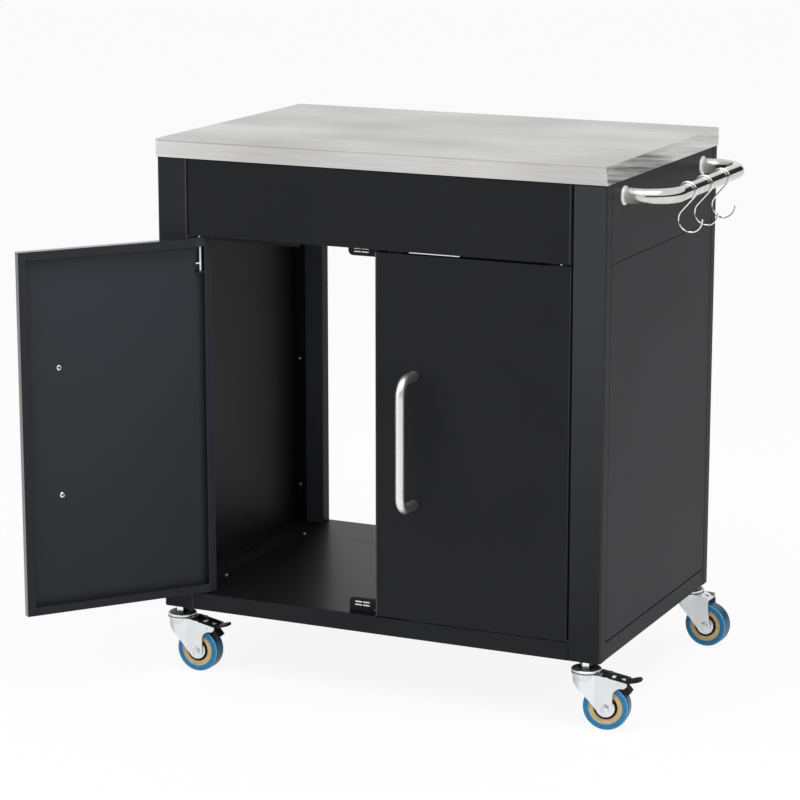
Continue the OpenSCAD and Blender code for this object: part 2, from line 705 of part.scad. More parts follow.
// Wheel: tread, core and hub, turned about the axle
module turned() translate([trail, 0, wheel_r]) rotate([90, 0, 0]) rotate_extrude() children();
module tread() color(blue_tread)
    turned() union() {
        translate([core_r, -tread_w/2]) square([6.5, tread_w]);
        translate([core_r, -tread_w/2 + 3.5]) square([wheel_r - core_r, tread_w - 7]);
        for (s = [-1, 1]) translate([wheel_r - 3.5, s*(tread_w/2 - 3.5)]) circle(3.5);
    }
module core() color(tan_core)
    turned() difference() {
        translate([seal_r + 0.1, -tread_w/2 + 1]) square([core_r - seal_r - 0.15, tread_w - 2]);
        for (m = [0, 1]) mirror([0, m]) translate([seal_r + 1.6, tread_w/2 - 3])
            square([core_r - seal_r - 3, 3]);
    }
module hub() color(zinc)
    turned() union() {
        translate([axle_r + fit, -leg_in + 0.7]) square([hub_r - axle_r - fit - 1.5, 2*leg_in - 1.4]);
        translate([axle_r + fit, -leg_in + 2.2]) square([hub_r - axle_r - fit, 2*leg_in - 4.4]);
        translate([hub_r - 1, -tread_w/2 + 2.5]) square([seal_r - hub_r + 1, tread_w - 5]);
    }

// Brake lever: a folded plate with cheeks on the rivet, a shoe over the tread and a pedal
module brake_lever() color([0.13, 0.13, 0.14])
    difference() {
        union() {
            intersection() {
                side_cut(60) polygon([[27, 88.4], [27, 90.6], [65, 84.4], [71, 83.4], [89, 88.4],
                    [92.6, 87.2], [92, 85], [73, 80.9], [65, 82.2]]);
                linear_extrude(caster_h) union() {
                    translate([26, -brake_w/2]) square([41, brake_w]);
                    translate([66, -9]) square([8, 18]);
                    translate([72, -11.5]) square([9.5, 23]);
                    translate([81.5, 0]) circle(11.5);
                }
            }
            for (s = [-1, 1]) translate([0, s*(brake_w/2 - 1), 0]) side_cut(2) union() {
                translate([brake_x, brake_z]) circle(5.5);
                polygon([[30, 89], [66, 83.1], [67, 78], [60, 74], [50, 75], [38, 84]]);
            }
            side_cut(22) polygon([[59.2, 84], [64.5, 83], [64.5, 79], [76, 65], [69.8, 59.6], [59.2, 75.5]]);
        }
        translate([brake_x, 0, brake_z]) rotate([90, 0, 0])
            cylinder(r = brake_pin_r + fit, h = 60, center = true);
        translate([45.5, 0, 86]) cube([9, 14, 20], center = true);
        translate([0, 0, 81]) linear_extrude(10) polygon([[55.5, 0], [65.5, -8], [65.5, 8]]);
    }

worktop();
worktop_channels();
post(-1, -1);  // front_left_post
post(1, -1);  // front_right_post
post(-1, 1);  // rear_left_post
post(1, 1);  // rear_right_post
front_apron();
rear_apron();
left_upper_panel();
right_upper_panel();
left_side_panel();
right_side_panel();
left_base_rail();
right_base_rail();
bottom_shelf();
caster_foot_plates();
catch_brackets();
magnet_housings();
magnet_pole_plates();
assembly_screws();
towel_rail();
rail_rosettes();
rail_bolts();
lower_pivot_pins();
caster_stems();
left_side() door();  // left_door
left_side() handle();  // left_handle
left_side() handle_screws();  // left_handle_screws
left_side() spring_pin();  // left_spring_pin
left_side() pin_spring();  // left_pin_spring
right_side() door();  // right_door
right_side() handle();  // right_handle
right_side() handle_screws();  // right_handle_screws
right_side() spring_pin();  // right_spring_pin
right_side() pin_spring();  // right_pin_spring
hook(hook_y[0]);  // front_hook
hook(hook_y[1]);  // middle_hook
hook(hook_y[2]);  // rear_hook
at_caster(0) brake_fork();  // front_left_fork
at_caster(0) axle();  // front_left_axle
at_caster(0) tread();  // front_left_tread
at_caster(0) core();  // front_left_core
at_caster(0) hub();  // front_left_hub
at_caster(0) brake_lever();  // front_left_brake
at_caster(1) brake_fork();  // front_right_fork
at_caster(1) axle();  // front_right_axle
at_caster(1) tread();  // front_right_tread
at_caster(1) core();  // front_right_core
at_caster(1) hub();  // front_right_hub
at_caster(1) brake_lever();  // front_right_brake
at_caster(2) plain_fork();  // rear_left_fork
at_caster(2) axle();  // rear_left_axle
at_caster(2) tread();  // rear_left_tread
at_caster(2) core();  // rear_left_core
at_caster(2) hub();  // rear_left_hub
at_caster(3) plain_fork();  // rear_right_fork
at_caster(3) axle();  // rear_right_axle
at_caster(3) tread();  // rear_right_tread
at_caster(3) core();  // rear_right_core
at_caster(3) hub();  // rear_right_hub
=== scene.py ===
"""Kitchen cart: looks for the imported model, in metres, +X right, +Y back, +Z up."""

import json
import math

import bmesh
import bpy
from mathutils import Matrix, Vector


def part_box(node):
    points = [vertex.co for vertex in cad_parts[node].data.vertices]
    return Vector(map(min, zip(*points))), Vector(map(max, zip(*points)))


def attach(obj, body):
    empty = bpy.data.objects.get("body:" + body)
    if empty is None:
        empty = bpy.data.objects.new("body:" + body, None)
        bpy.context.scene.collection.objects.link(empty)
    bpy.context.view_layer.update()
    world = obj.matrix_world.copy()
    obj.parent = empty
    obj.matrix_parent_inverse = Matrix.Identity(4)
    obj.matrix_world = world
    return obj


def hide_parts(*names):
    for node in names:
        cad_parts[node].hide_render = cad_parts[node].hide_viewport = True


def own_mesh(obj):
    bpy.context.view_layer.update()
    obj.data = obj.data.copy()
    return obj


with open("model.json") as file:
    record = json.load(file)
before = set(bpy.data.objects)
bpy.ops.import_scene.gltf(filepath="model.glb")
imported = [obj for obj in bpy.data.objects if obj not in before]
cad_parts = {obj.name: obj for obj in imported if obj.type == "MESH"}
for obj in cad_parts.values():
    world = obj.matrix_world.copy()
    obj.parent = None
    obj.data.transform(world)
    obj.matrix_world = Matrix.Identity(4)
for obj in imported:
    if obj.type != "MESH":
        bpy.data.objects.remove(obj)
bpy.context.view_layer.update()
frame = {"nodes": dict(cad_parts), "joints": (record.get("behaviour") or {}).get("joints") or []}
nodes = frame["nodes"]


# Worktop
# One sheet of stainless steel, folded down on all four sides and turned in at the bottom. It is
# brushed along its length, and its ends from front to back. Two hat channels stiffen it from below.
class Wire:
    """One output socket of a finish. Sums written on it become Math nodes."""

    def __init__(self, finish, socket):
        self.finish = finish
        self.socket = socket

    def sum(self, operation, first, second):
        return self.finish.add("ShaderNodeMath", {"operation": operation}, {0: first, 1: second})

    def __add__(self, other):
        return self.sum("ADD", self, other)

    def __radd__(self, other):
        return self.sum("ADD", other, self)

    def __sub__(self, other):
        return self.sum("SUBTRACT", self, other)

    def __rsub__(self, other):
        return self.sum("SUBTRACT", other, self)

    def __mul__(self, other):
        return self.sum("MULTIPLY", self, other)

    def __rmul__(self, other):
        return self.sum("MULTIPLY", other, self)

    def __gt__(self, other):
        return self.sum("GREATER_THAN", self, other)

    def __lt__(self, other):
        return self.sum("LESS_THAN", self, other)

    def __abs__(self):
        return self.sum("ABSOLUTE", self, 0.0)

    def __or__(self, other):
        return self.sum("MAXIMUM", self, other)

    def others(self, *names):
        """Other outputs of the node that this wire comes from."""
        return [Wire(self.finish, self.socket.node.outputs[name]) for name in names]


class Graph:
    """Makes the nodes of one tree, and gives back the wires that leave them."""

    def __init__(self, tree):
        self.tree = tree

    def add(self, kind, settings, sockets, output=0):
        """A new node, with its settings first and then a value or a wire for each socket."""
        node = self.tree.nodes.new(kind)
        for key, value in settings.items():
            if key == "stops":
                ramp = node.color_ramp
                while len(ramp.elements) < len(value):
                    ramp.elements.new(0.5)
                for element, (position, color) in zip(ramp.elements, value):
                    element.position = position
                    element.color = color
            else:
                setattr(node, key, value)
        for key, value in sockets.items():
            if isinstance(value, Wire):
                self.tree.links.new(value.socket, node.inputs[key])
            elif value is not None:
                node.inputs[key].default_value = value
        return Wire(self, node.outputs[output])

    def axes(self, wire):
        """The three parts of a vector."""
        return self.add("ShaderNodeSeparateXYZ", {}, {0: wire}).others("X", "Y", "Z")

    def dot(self, wire, way):
        """How far a vector reaches along a fixed direction."""
        return self.add("ShaderNodeVectorMath", {"operation": "DOT_PRODUCT"}, {0: wire, 1: way}, 1)

    def ramp(self, wire, *stops):
        """A colour ramp. Each stop is a position with a grey level or a colour."""
        colours = [(position, (value, value, value, 1.0) if isinstance(value, float) else (*value, 1.0))
                   for position, value in stops]
        return self.add("ShaderNodeValToRGB", {"stops": colours}, {0: wire})

    def rays(self):
        """Wires that are 1 for a ray from the camera or one let through, and for a mirrored ray."""
        camera, glossy, through = self.add("ShaderNodeLightPath", {}, {}).others(
            "Is Camera Ray", "Is Glossy Ray", "Is Transmission Ray")
        return camera | through, glossy


class Finish(Graph):
    """A material built from nodes round one Principled shader."""

    def __init__(self, name, slot, **constants):
        self.slot = slot
        self.material = bpy.data.materials.new(name)
        self.material.use_nodes = True
        super().__init__(self.material.node_tree)
        self.shader = self.tree.nodes["Principled BSDF"]
        for socket, value in constants.items():
            self.shader.inputs[socket.replace("_", " ")].default_value = value
        self.place, self.normal = self.add("ShaderNodeTexCoord", {}, {}).others("Object", "Normal")

    def feed(self, **wires):
        """Links wires to sockets of the shader."""
        for socket, wire in wires.items():
            self.tree.links.new(wire.socket, self.shader.inputs[socket.replace("_", " ")])

    def scaled(self, wire, x, y, z):
        return self.add("ShaderNodeVectorMath", {"operation": "MULTIPLY"}, {0: wire, 1: (x, y, z)})

    def noise(self, wire, scale, detail=2.0, rough=0.5):
        return self.add("ShaderNodeTexNoise", {}, {"Vector": wire, "Scale": scale, "Detail": detail,
                                                   "Roughness": rough})

    def mix(self, factor, first, second):
        first = first if isinstance(first, Wire) else (*first, 1.0)
        second = second if isinstance(second, Wire) else (*second, 1.0)
        return self.add("ShaderNodeMix", {"data_type": "RGBA"}, {0: factor, 6: first, 7: second}, 2)

    def bump(self, height, distance, strength=1.0):
        return self.add("ShaderNodeBump", {}, {"Strength": strength, "Distance": distance,
                                               "Height": height})

    def dress(self, *names):
        """Puts the finish on CAD nodes, given by name, and on new pieces."""
        for name in names:
            thing = nodes[name] if isinstance(name, str) else name
            thing.data.materials.clear()
            thing.data.materials.append(self.material)


MM = 0.001
crease = math.radians(35)


def soften(width, *names):
    """Rounds the sharp edges of CAD pieces by a width in metres, as a fold or a tumbled edge is."""
    for name in names:
        thing = nodes[name]
        weld = thing.modifiers.new("weld", "WELD")
        weld.merge_threshold = 1e-6
        bevel = thing.modifiers.new("edges", "BEVEL")
        bevel.width = width
        bevel.segments = 2
        bevel.limit_method = "ANGLE"
        bevel.angle_limit = crease


worktop_low, worktop_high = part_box("worktop")
hem_z = worktop_low.z + 0.2 * MM
fold_low_z = worktop_high.z - 3.5 * MM
fold_high_z = worktop_high.z - 1.5 * MM
grain_lean = math.radians(7.3)

brushed = Finish("brushed_stainless", "worktop_steel", Metallic=1.0)
across, depth, height = brushed.axes(brushed.place)
sideways, frontal, _ = brushed.axes(brushed.normal)
side_facing = abs(sideways) > 0.7
front_facing = frontal < -0.7
# The grain leans a little on the ends.
leaning = brushed.add("ShaderNodeVectorRotate", {"rotation_type": "AXIS_ANGLE"},
                      {"Vector": brushed.place, "Axis": (1.0, 0.0, 0.0), "Angle": grain_lean})
grain_top = brushed.scaled(brushed.place, 5.0, 240.0, 240.0)
grain_side = brushed.scaled(leaning, 240.0, 3.0, 240.0)
fine = brushed.noise(brushed.mix(side_facing, grain_top, grain_side), 2.4, 3.0, 0.6)
band_top = brushed.scaled(brushed.place, 3.0, 70.0, 90.0)
band_side = brushed.scaled(leaning, 60.0, 2.2, 110.0)
bands = brushed.noise(brushed.mix(side_facing, band_top, band_side), 1.3, 4.0, 0.55)
clouds = brushed.noise(brushed.scaled(brushed.place, 1.0, 1.6, 1.0), 3.2, 1.0)
# A painted reflection on each end: the front half is darker and streaky, the rear half even and paler.
rear_half = brushed.ramp(depth + 0.5, (0.46, 0.0), (0.54, 1.0))
painted_reflection_streaks = (bands - 0.5) * (1.0 - rear_half) * 1.4
tone = fine * 0.3 + bands * (0.15 + 0.5 * side_facing) + clouds * (0.55 - 0.45 * side_facing)
tone = tone + side_facing * (0.16 * rear_half - 0.07 + painted_reflection_streaks)
# Painted light: the front flange is paler, with a painted highlight along its bottom hem.
tone = tone + 0.08 * front_facing + 0.12 * front_facing * (height < hem_z)
steel = brushed.ramp(
    tone, (0.12, (0.17, 0.168, 0.165)), (0.34, (0.45, 0.446, 0.44)), (0.5, (0.585, 0.58, 0.57)),
    (0.66, (0.73, 0.725, 0.715)), (0.86, (0.93, 0.925, 0.915)))
# A painted shade line along the fold at the front, which fades to the right.
painted_fold_shade = (height > fold_low_z) * (height < fold_high_z) * (frontal < -0.2) * (0.3 - 0.35 * across)
brushed.feed(
    Base_Color=brushed.mix(painted_fold_shade, steel, (0.1, 0.1, 0.1)),
    Roughness=brushed.ramp(tone, (0.3, 0.42), (0.7, 0.28)),
    Normal=brushed.bump(fine, 0.00003))
brushed.dress("worktop")
soften(0.0004, "worktop")

# Cabinet
# Posts, aprons, side panels, base rails and the shelf are folded from steel sheet and powder
# coated satin black, with the fine orange peel that the coat leaves. Screws hold them together.
shadow_z = worktop_low.z - 1.8 * MM
apron_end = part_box("front_apron")[1].x
# The inner and the outer corner of one post. The others are its mirror images.
post_inner, post_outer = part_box("rear_right_post")


def powder_coat(name, paint_light_and_shade=None, **constants):
    """Satin black powder coat with its orange peel, and a painted shadow just below the worktop.

    A function given after the name paints light and shade into the coat's colour in places.
    """
    paint = Finish(name, "black_paint", Specular_IOR_Level=0.12, **constants)
    peel = paint.noise(paint.place, 900.0, 2.0, 0.55)
    drift = paint.noise(paint.place, 5.0, 3.0)
    colour = paint.ramp(drift, (0.3, (0.0105, 0.011, 0.013)), (0.7, (0.0145, 0.015, 0.0175)))
    painted_shadow_under_worktop = paint.axes(paint.place)[2] > shadow_z
    if paint_light_and_shade:
        colour = paint_light_and_shade(paint, colour)
    paint.feed(
        Base_Color=paint.mix(painted_shadow_under_worktop, colour, (0.0, 0.0, 0.0)),
        Roughness=paint.ramp(peel, (0.3, 0.42), (0.7, 0.52)),
        Normal=paint.bump(peel, 0.00005, 0.6))
    return paint


def apron_painted_light(paint, colour):
    """A painted highlight near the right end of an apron, and a painted shadow in the gap beside each post.
    """
    across = paint.axes(paint.place)[0]
    wear_and_painted_highlight = (across > apron_end - 6.6 * MM) * (across < apron_end - 4.6 * MM)
    painted_gap_shadow = abs(across) > apron_end - 4.3 * MM
    return paint.mix(painted_gap_shadow, paint.mix(wear_and_painted_highlight, colour, (0.045, 0.046, 0.05)), (0.0, 0.0, 0.0))


def post_painted_light(paint, colour):
    """Painted light: the coat is paler high on the fronts, on the outer corners and inside the rear posts.

    Painted highlights on the left posts' inner corners, and painted shade in the seam where the side panels
    start.
    """
    across, depth, height = paint.axes(paint.place)
    sideways, frontal, _ = paint.axes(paint.normal)
    upper = paint.ramp(height, (0.12, 0.0), (0.7, 1.0)) * (0.3 + 0.7 * (across > 0.0)) * (frontal < -0.8)
    painted_corner_highlight = (abs(frontal) > 0.25) * (abs(sideways) > 0.55) * (abs(across) > post_outer.x - 9.0 * MM)
    painted_light_inside = (depth > 0.0) * (frontal < -0.8)
    wear_and_painted_highlight = ((across < 0.0) * (abs(across) < post_inner.x + 2.5 * MM) * (frontal < -0.3)
              * (abs(sideways) > 0.3))
    painted_seam_shade = (abs(depth) < post_inner.y + 4.5 * MM) * (abs(sideways) > 0.9)
    colour = paint.mix(upper, colour, (0.038, 0.0395, 0.0435))
    colour = paint.mix(painted_corner_highlight, colour, (0.030, 0.030, 0.030))
    colour = paint.mix(painted_light_inside, colour, (0.085, 0.088, 0.098))
    colour = paint.mix(wear_and_painted_highlight, colour, (0.075, 0.076, 0.08))
    return paint.mix(painted_seam_shade, colour, (0.0, 0.0, 0.0))


def shelf_gloss_and_painted_shade(paint, colour):
    """The upper face of the shelf has a glossier coat, and is darkened as painted shade."""
    upward = paint.axes(paint.normal)[2] > 0.8
    paint.feed(Coat_Weight=0.22 * upward)
    return paint.mix(0.6 * upward, colour, (0.0, 0.0, 0.0))


coat = powder_coat("black_powder_coat")
powder_coat("black_powder_coat_on_shelf", shelf_gloss_and_painted_shade, Coat_Roughness=0.25).dress("bottom_shelf")
soften(0.0003, "bottom_shelf")
cabinet = ["left_upper_panel", "right_upper_panel", "left_side_panel", "right_side_panel",
           "left_base_rail", "right_base_rail", "catch_brackets"]
coat.dress(*cabinet)
soften(0.0003, *cabinet)
aprons = ["front_apron", "rear_apron"]
powder_coat("black_powder_coat_on_aprons", apron_painted_light).dress(*aprons)
soften(0.0003, *aprons)
posts = ["front_left_post", "front_right_post", "rear_left_post", "rear_right_post"]
powder_coat("black_powder_coat_on_posts", post_painted_light).dress(*posts)
soften(0.0007, *posts)

# Screws
# Zinc-plated pan-head screws with a cross recess hold the folded pieces together. They are driven
# from inside the cabinet, through the flanges of panels and aprons, the shelf and the catch brackets.
zinc = Finish("bright_zinc", "zinc_steel", Metallic=1.0)
frosting = zinc.noise(zinc.place, 22.0, 2.0)
plating = zinc.ramp(frosting, (0.3, (0.80, 0.83, 0.86)), (0.7, (0.88, 0.90, 0.92)))
# Painted reflection: the plating is paler or darker in bands by which way a face turns.
painted_reflection_bands = zinc.ramp(
    zinc.axes(zinc.normal)[0] * 0.5 + 0.5, (0.05, 0.66), (0.14, 0.74), (0.24, 1.0), (0.36, 1.0),
    (0.44, 0.84), (0.54, 0.86), (0.7, 1.0), (0.95, 0.8))
zinc.feed(
    Base_Color=zinc.mix(painted_reflection_bands, (0.0, 0.0, 0.0), plating),
    Roughness=zinc.ramp(frosting, (0.3, 0.20), (0.7, 0.28)))


def make(name, finish, body, shape, place=Matrix()):
    """A piece from points and faces in millimetres, set in place and riding on a CAD body."""
    points, faces = shape
    work = bmesh.new()
    corners = [work.verts.new(MM * (place @ Vector(p))) for p in points]
    for face in faces:
        work.faces.new([corners[i] for i in face])
    bmesh.ops.remove_doubles(work, verts=work.verts, dist=1e-7)
    bmesh.ops.recalc_face_normals(work, faces=work.faces)
    mesh = bpy.data.meshes.new(name)
    work.to_mesh(mesh)
    work.free()
    mesh.shade_smooth()
    mesh.set_sharp_from_angle(angle=crease)
    piece = bpy.data.objects.new(name, mesh)
    bpy.context.scene.collection.objects.link(piece)
    finish.dress(piece)
    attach(piece, body)
    return piece


def joined(*shapes):
    """Several shapes as one, each a list of points and one of faces."""
    points, faces = [], []
    for more_points, more_faces in shapes:
        faces += [[i + len(points) for i in face] for face in more_faces]
        points += more_points
    return points, faces


def moved(place, shape):
    """A shape taken to a place."""
    return [tuple(place @ Vector(p)) for p in shape[0]], shape[1]


def lathe(profile, sides=64, closed=False):
    """Turns (radius, height) points about Z. A closed profile makes a ring."""
    points, rows, faces = [], [], []
    for radius, height in profile:
        count = 1 if radius < 1e-6 else sides
        rows.append([len(points) + k for k in range(count)])
        points += [(radius * math.cos(math.tau * k / sides), radius * math.sin(math.tau * k / sides), height)
                   for k in range(count)]
    for low, high in zip(rows, rows[1:] + ([rows[0]] if closed else [])):
        for k in range(sides):
            face = [low[k % len(low)], low[(k + 1) % len(low)],
                    high[(k + 1) % len(high)], high[k % len(high)]]
            face = list(dict.fromkeys(face))
            if len(face) > 2:
                faces.append(face)
    return points, faces


def screw(radius, height, length, shank, arm=0.13):
    """A pan head with a cross recess on z = 0, its shank downwards.

    The head is a square grid pressed into a disc, with lines at the edges of the recess. An arm's
    half width is a share of the radius.
    """
    arm_end = 0.5
    lines = [-1, -0.86, -0.7, -0.52, -arm_end, -0.34, -arm - 0.03, -arm, 0]
    lines += [-x for x in reversed(lines[:-1])]
    count = len(lines)
    points, faces = [], []
    for v in lines:
        for u in lines:
            x = u * math.sqrt(1 - v * v / 2)
            y = v * math.sqrt(1 - u * u / 2)
            z = height * (0.55 + 0.45 * math.sqrt(max(0.0, 1 - math.hypot(x, y) ** 3)))
            near, far = sorted((abs(u), abs(v)))
            if near <= arm + 1e-6 and far <= arm_end + 1e-6:
                z -= height * 0.62 * (1 - 0.75 * far)
            points.append((x * radius, y * radius, z))
    for j in range(count - 1):
        for i in range(count - 1):
            k = j * count + i
            faces.append([k, k + 1, k + count + 1, k + count])
    rim = (list(range(count)) + [j * count + count - 1 for j in range(1, count)]
           + [(count - 1) * count + i for i in range(count - 2, -1, -1)]
           + [j * count for j in range(count - 2, 0, -1)])
    rows = [rim]
    for size, z in ((1.0, 0.0), (shank / radius, 0.0), (shank / radius, -length)):
        rows.append([len(points) + i for i in range(len(rim))])
        points += [(points[k][0] * size, points[k][1] * size, z) for k in rim]
    for upper, lower in zip(rows, rows[1:]):
        for i in range(len(rim)):
            j = (i + 1) % len(rim)
            faces.append([upper[i], upper[j], lower[j], lower[i]])
    faces.append(rows[-1])
    return points, faces


def facing(spot, outward, turn=0.0):
    """A place at spot whose +Z points outward."""
    return (Matrix.Translation(spot) @ Vector(outward).to_track_quat("Z", "Y").to_matrix().to_4x4()
            @ Matrix.Rotation(math.radians(turn), 4, "Z"))


# Where the heads sit, in millimetres, on the right and at the back. The others are mirror images.
panel_screw_x = 390
panel_flange_y = 236.8
panel_screw_heights = (209, 448, 687, 820)
apron_screw_x = 342.8
apron_screw_y = 255.75
apron_screw_heights = (786, 854)
shelf_screw = (340, 150, 140)
# Those of the catch brackets are at the front.
shelf_catch_screw = (46, -238.5, 141.5)
apron_catch_screw = (8, -246, 759.5)
small_screw = screw(3.6, 2.2, 4.4, 2.0)
seats = []
for sx in (-1, 1):
    for sy in (-1, 1):
        for i, z in enumerate(panel_screw_heights):
            seats.append(((sx * panel_screw_x, sy * panel_flange_y, z), (0, -sy, 0), 20 * i + 15 * sx))
        for i, z in enumerate(apron_screw_heights):
            seats.append(((sx * apron_screw_x, sy * apron_screw_y, z), (-sx, 0, 0), 35 * i))
        x, y, z = shelf_screw
        seats.append(((sx * x, sy * y, z), (0, 0, 1), 25 * sy))
    x, y, z = shelf_catch_screw
    seats.append(((sx * x, y, z), (0, 0, 1), 10))
    x, y, z = apron_catch_screw
    seats.append(((sx * x, y, z), (0, 1, 0), 30))
screws = make("cabinet_screws", zinc, "cabinet",
              joined(*[moved(facing(*seat), small_screw) for seat in seats]))
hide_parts("assembly_screws")

# Foot plates, channels, pole plates, pins and bolts
# Small steel pieces that the CAD model shapes fully. Most are zinc plated. The right catch's pole
# plates are painted dark as shade, and the doors' lower pivot pins are coated like the cabinet.
zinc.dress("caster_foot_plates", "worktop_channels", "rail_bolts")
pole = Finish("pole_plate_steel", "zinc_steel", Metallic=0.3, Roughness=0.35)
stain = pole.noise(pole.place, 200.0, 2.0)
bright = pole.ramp(stain, (0.3, (0.84, 0.85, 0.86)), (0.7, (0.96, 0.96, 0.96)))
# Painted shade: the right catch's pole plates are dark.
painted_shade_right_catch = pole.axes(pole.place)[0] > 0.002
pole.feed(Base_Color=pole.mix(painted_shade_right_catch, bright, (0.03, 0.03, 0.032)))
pole.dress("magnet_pole_plates")
coat.dress("lower_pivot_pins")
soften(0.0002, "caster_foot_plates", "worktop_channels", "lower_pivot_pins", "rail_bolts")

# Magnet housings
# Black moulded boxes behind the catch brackets, each with a magnet between two pole plates.
moulded = Finish("black_moulding", "black_plastic", Roughness=0.55)
grit = moulded.noise(moulded.place, 500.0, 2.0)
moulded.feed(Base_Color=moulded.ramp(grit, (0.3, (0.008, 0.008, 0.009)), (0.7, (0.014, 0.014, 0.015))))
moulded.dress("magnet_housings")

# Doors
# Folded sheet pans with a lip round the inner side, powder coated like the cabinet. Each turns
# on a fixed pin below and on a sprung one above. The left one stands open.
joints = {joint["name"]: joint for joint in frame["joints"]}


def pivot(name):
    """Where a joint of the frame sits, in millimetres."""
    return Vector(joints[name]["pos_m"]) / MM


left_hinge = pivot("left_door_hinge")
right_hinge = pivot("right_door_hinge")
left_open = math.radians(joints["left_door_hinge"]["range_deg"][1])
# A door's own place has its hinge line on Z, its width along +X and its inner side towards +Y.
hung = {
    "left": Matrix.Translation((left_hinge.x, left_hinge.y, 0)) @ Matrix.Rotation(-left_open, 4, "Z"),
    "right": Matrix.Translation((right_hinge.x, right_hinge.y, 0)) @ Matrix.Scale(-1, 4, (1, 0, 0)),
}
left_inward = hung["left"].to_3x3() @ Vector((0, 1, 0))
left_along = hung["left"].to_3x3() @ Vector((1, 0, 0))


def door_painted_light(paint, colour):
    """Painted light on a door's inner side: paler than the coat, more so higher up, palest on the sheet
    behind the lip.
    """
    painted_light_inside = (paint.dot(paint.normal, left_inward) > 0.8) | (paint.axes(paint.normal)[1] > 0.9)
    across, depth, height = paint.axes(paint.place)
    on_left = across < MM * (left_hinge.x - 1.0)
    behind_left = paint.dot(paint.place, left_inward) < MM * left_hinge.dot(left_inward)
    behind_right = depth < MM * right_hinge.y
    sheet = (on_left * behind_left) | ((1.0 - on_left) * behind_right)
    painted_light_lining = paint.ramp(height, (0.2, (0.0235, 0.0240, 0.029)), (0.7, (0.0305, 0.0315, 0.038)))
    painted_light_sheet = paint.ramp(height, (0.2, (0.0245, 0.0255, 0.030)), (0.7, (0.0340, 0.0352, 0.042)))
    lip = paint.mix(0.16, painted_light_lining, (0.0, 0.0, 0.0))
    return paint.mix(painted_light_inside, colour, paint.mix(sheet, lip, painted_light_sheet))


pan = powder_coat("black_powder_coat_on_doors", door_painted_light, Coat_Roughness=0.12, Coat_IOR=1.9)
level_edge = abs(pan.axes(pan.normal)[2]) > 0.8
upright_edge = abs(pan.dot(pan.normal, left_along)) > 0.8
pan.feed(Coat_Weight=level_edge | upright_edge)
pan.dress("left_door", "right_door")
soften(0.0005, "left_door", "right_door")

# Spring pins
# A plated rod slides in the door's top flange and in a welded tab. A cross bar pulls it down, and
# a small coil spring, which stands on the tab, pushes it up into the apron.
# In millimetres, in a door's own place.
rod_low, rod_middle, rod_high = 693.7, 725, 759.2
rod_r = 2.5
cross_z = 709
cross_r = 1.5
cross_half = 8.5
tab_top = 696.1
coil_r = 3.15
coil_rise = 10.6
coil_turns = 4.5
coil_steps = 24
coil_wire_r = 0.35


def tube(path, radius, sides=32, ends=0.25):
    """Round wire or bar along a path, with its ends broken by ends times the radius."""
    path = [Vector(p) for p in path]
    along = [(b - a).normalized() for a, b in zip(path, path[1:])]
    ways = [along[0]] + [(a + b).normalized() for a, b in zip(along, along[1:])] + [along[-1]]
    side = ways[0].orthogonal().normalized()
    points, faces, rows = [], [], []

    def ring(middle, way, across, size):
        other = way.cross(across).normalized()
        rows.append(len(points))
        for k in range(sides):
            a = math.tau * k / sides
            points.append(tuple(middle + size * (math.cos(a) * across + math.sin(a) * other)))

    cut = ends * radius
    for i, (spot, way) in enumerate(zip(path, ways)):
        side = (side - side.dot(way) * way).normalized()
        if i == 0 and cut:
            ring(spot, way, side, radius - cut)
            ring(spot + 0.3 * cut * way, way, side, radius - 0.3 * cut)
            ring(spot + cut * way, way, side, radius)
        elif i == len(path) - 1 and cut:
            ring(spot - cut * way, way, side, radius)
            ring(spot - 0.3 * cut * way, way, side, radius - 0.3 * cut)
            ring(spot, way, side, radius - cut)
        else:
            ring(spot, way, side, radius)
    for a, b in zip(rows, rows[1:]):
        for k in range(sides):
            j = (k + 1) % sides
            faces.append([a + k, a + j, b + j, b + k])
    faces.append([rows[0] + k for k in reversed(range(sides))])
    faces.append([rows[-1] + k for k in range(sides)])
    return points, faces


rod = tube([(0, 0, z) for z in (rod_low, rod_middle, rod_high)], rod_r, 32, 0.4)
cross_bar = tube([(x, 0, cross_z) for x in (-cross_half, 0, cross_half)], cross_r, 24, 0.4)
coil = []
for i in range(int(coil_turns * coil_steps) + 1):
    angle = math.tau * i / coil_steps
    rise = coil_wire_r + coil_rise * i / (coil_turns * coil_steps)
    coil.append((coil_r * math.cos(angle), coil_r * math.sin(angle), tab_top + rise))
for hand, place in hung.items():
    pin = make(hand + "_pin_and_cross_bar", zinc, hand + "_pin", joined(rod, cross_bar), place)
    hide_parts(hand + "_spring_pin")
    spring = make(hand + "_return_spring", zinc, hand + "_door_leaf", tube(coil, coil_wire_r, 12), place)
    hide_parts(hand + "_pin_spring")
    coil_foot = MM * (place @ Vector((0, 0, tab_top)))
    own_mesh(spring)

# Handles
# Stainless bar, bent to a bow, its ends flat on the door. A screw from inside the door holds each
# end. Bar and rail share one finish: the handles are polished less, and so are the rail's ends.
polished = Finish("polished_stainless", "polished_steel", Metallic=1.0)
haze = polished.noise(polished.place, 60.0, 3.0)
across = polished.axes(polished.place)[0]
on_door = across < 0.38
